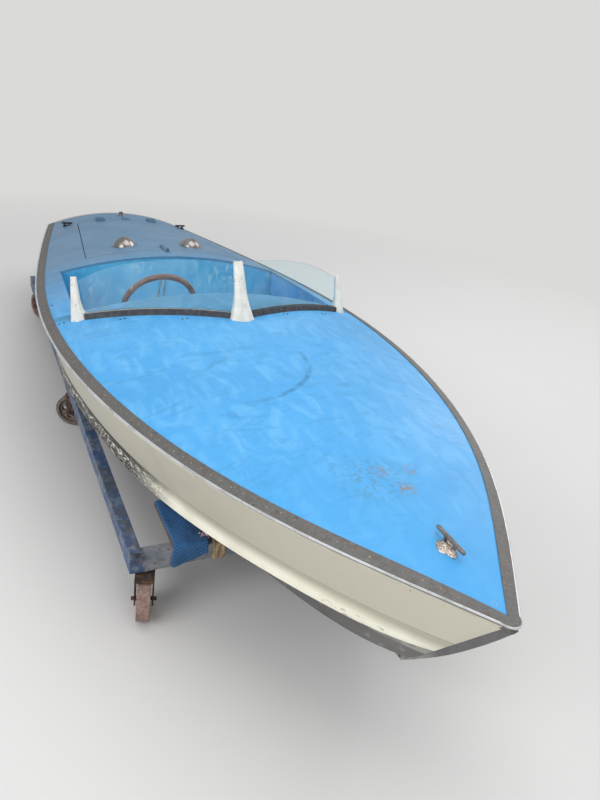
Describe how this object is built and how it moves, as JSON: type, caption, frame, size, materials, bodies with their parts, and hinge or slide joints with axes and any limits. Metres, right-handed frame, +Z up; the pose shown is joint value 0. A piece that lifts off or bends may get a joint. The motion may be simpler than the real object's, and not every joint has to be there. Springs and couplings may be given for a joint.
{
  "type": "wooden runabout speedboat on a trolley",
  "caption": "Decked wooden runabout with a V windscreen, open cockpit, lifting engine hatch, shaft drive and rudder, standing on an angle-iron trolley with swivel casters.",
  "frame": {"origin": "on the floor, under the middle of the whole object", "axes": "+X to the bow, +Y to port, +Z up"},
  "size_m": [5.0263, 1.7824, 1.1105],
  "materials": {
    "painted_deck": "sky-blue gloss paint on plywood, dusty",
    "painted_cockpit": "light blue paint on plywood, dusty",
    "painted_topside": "cream paint on plywood, chipped",
    "painted_bottom": "dark grey antifouling paint",
    "bare_wood": "bare, dirty",
    "aluminium_trim": "weathered, dull",
    "cream_casting": "cream paint, chipped",
    "acrylic": "crazed acrylic sheet",
    "black_rubber": "matt",
    "wheel_rim": "red-brown, faded",
    "bright_metal": "pitted plating",
    "bronze": "dull bronze",
    "engine_iron": "painted cast iron",
    "trolley_paint": "worn blue and grey paint on steel",
    "caster_steel": "rusty steel",
    "caster_wheel": "rusty cast wheel with a worn tread",
    "blue_cloth": "knitted cloth",
    "tan_roll": "rolled mat"
  },
  "bodies": {
    "boat_and_trolley": {"hull_bottom": "painted_bottom", "topside_port": "painted_topside", "topside_starboard": "painted_topside", "strakes": "painted_topside", "foredeck": "painted_deck", "side_decks": "painted_deck", "aft_deck": "painted_deck", "transom": "painted_topside", "stem_band": "aluminium_trim", "keel_strip": "aluminium_trim", "deck_band": "aluminium_trim", "rub_rail": "aluminium_trim", "bow_cap": "aluminium_trim", "front_bulkhead": "painted_cockpit", "seat_back": "painted_cockpit", "steering_column": "bright_metal", "dash_panel": "painted_cockpit", "floor_boards": "painted_cockpit", "center_post": "cream_casting", "side_posts": "cream_casting", "windscreen_panes": "acrylic", "windscreen_gaskets": "black_rubber", "deck_leaves": "bright_metal", "deck_staple": "bright_metal", "bow_cleat": "bright_metal", "stern_cleats": "bright_metal", "flag_socket": "bright_metal", "engine": "engine_iron", "shaft_bracket": "bronze", "rudder_gland": "bronze", "trolley_frame": "trolley_paint", "keel_chocks": "bare_wood", "bilge_chocks": "bare_wood", "packing_boards": "bare_wood", "padding_cloth": "blue_cloth", "padding_roll": "tan_roll", "coamings": "painted_cockpit", "shaft_log": "aluminium_trim"},
    "steering_wheel": {"steering_rim": "wheel_rim", "steering_hub": "bright_metal"},
    "rudder_blade": {"rudder": "bronze"},
    "hatch": {"engine_hatch": "painted_deck", "vent_domes": "bright_metal", "hatch_leaves": "bright_metal", "hatch_hasp": "bright_metal"},
    "propeller_and_shaft": {"propeller": "bronze", "prop_shaft": "bronze"},
    "fork_fs": {"caster_fork_fs": "caster_steel"},
    "wheel_fs": {"caster_wheel_fs": "caster_wheel"},
    "fork_fp": {"caster_fork_fp": "caster_steel"},
    "wheel_fp": {"caster_wheel_fp": "caster_wheel"},
    "fork_ms": {"caster_fork_ms": "caster_steel"},
    "wheel_ms": {"caster_wheel_ms": "caster_wheel"},
    "fork_mp": {"caster_fork_mp": "caster_steel"},
    "wheel_mp": {"caster_wheel_mp": "caster_wheel"},
    "fork_rs": {"caster_fork_rs": "caster_steel"},
    "wheel_rs": {"caster_wheel_rs": "caster_wheel"},
    "fork_rp": {"caster_fork_rp": "caster_steel"},
    "wheel_rp": {"caster_wheel_rp": "caster_wheel"}
  },
  "joints": [
    {"name": "steering_wheel_turn", "type": "hinge", "parent": "boat_and_trolley", "child": "steering_wheel", "pos_m": [-0.17916, -0.254, 0.715], "axis": [0.9397, 0, -0.342], "range_deg": [-180, 180]},
    {"name": "rudder_turn", "type": "hinge", "parent": "boat_and_trolley", "child": "rudder_blade", "pos_m": [-2.37915, 0, 0.2], "axis": [0, 0, 1], "range_deg": [-35, 35]},
    {"name": "engine_hatch_lift", "type": "hinge", "parent": "boat_and_trolley", "child": "hatch", "pos_m": [-2.16166, 0, 0.68773], "axis": [0, -1, 0], "range_deg": [0, 75]},
    {"name": "propeller_spin", "type": "hinge", "parent": "boat_and_trolley", "child": "propeller_and_shaft", "pos_m": [-2.12915, 0, 0.158], "axis": [0.9781, 0, 0.2079], "continuous": true},
    {"name": "caster_fs_swivel", "type": "hinge", "parent": "boat_and_trolley", "child": "fork_fs", "pos_m": [1.33984, -0.685, 0.2], "axis": [0, 0, 1], "continuous": true},
    {"name": "caster_fs_roll", "type": "hinge", "parent": "fork_fs", "child": "wheel_fs", "pos_m": [1.38001, -0.69728, 0.088], "axis": [0.2924, 0.9563, 0], "continuous": true},
    {"name": "caster_fp_swivel", "type": "hinge", "parent": "boat_and_trolley", "child": "fork_fp", "pos_m": [1.33984, 0.685, 0.2], "axis": [0, 0, 1], "continuous": true},
    {"name": "caster_fp_roll", "type": "hinge", "parent": "fork_fp", "child": "wheel_fp", "pos_m": [1.30347, 0.706, 0.088], "axis": [-0.5, -0.866, 0], "continuous": true},
    {"name": "caster_ms_swivel", "type": "hinge", "parent": "boat_and_trolley", "child": "fork_ms", "pos_m": [-0.17916, -0.685, 0.2], "axis": [0, 0, 1], "continuous": true},
    {"name": "caster_ms_roll", "type": "hinge", "parent": "fork_ms", "child": "wheel_ms", "pos_m": [-0.20325, -0.7194, 0.088], "axis": [0.8192, -0.5736, 0], "continuous": true},
    {"name": "caster_mp_swivel", "type": "hinge", "parent": "boat_and_trolley", "child": "fork_mp", "pos_m": [-0.17916, 0.685, 0.2], "axis": [0, 0, 1], "continuous": true},
    {"name": "caster_mp_roll", "type": "hinge", "parent": "fork_mp", "child": "wheel_mp", "pos_m": [-0.22052, 0.69229, 0.088], "axis": [-0.1736, -0.9848, 0], "continuous": true},
    {"name": "caster_rs_swivel", "type": "hinge", "parent": "boat_and_trolley", "child": "fork_rs", "pos_m": [-1.82916, -0.685, 0.2], "axis": [0, 0, 1], "continuous": true},
    {"name": "caster_rs_roll", "type": "hinge", "parent": "fork_rs", "child": "wheel_rs", "pos_m": [-1.86862, -0.69937, 0.088], "axis": [0.342, -0.9397, 0], "continuous": true},
    {"name": "caster_rp_swivel", "type": "hinge", "parent": "boat_and_trolley", "child": "fork_rp", "pos_m": [-1.82916, 0.685, 0.2], "axis": [0, 0, 1], "continuous": true},
    {"name": "caster_rp_roll", "type": "hinge", "parent": "fork_rp", "child": "wheel_rp", "pos_m": [-1.86356, 0.66091, 0.088], "axis": [0.5736, -0.8192, 0], "continuous": true}
  ],
  "couplings": [
    {"joint": "rudder_turn", "follows": "steering_wheel_turn", "ratio": 0.19}
  ]
}
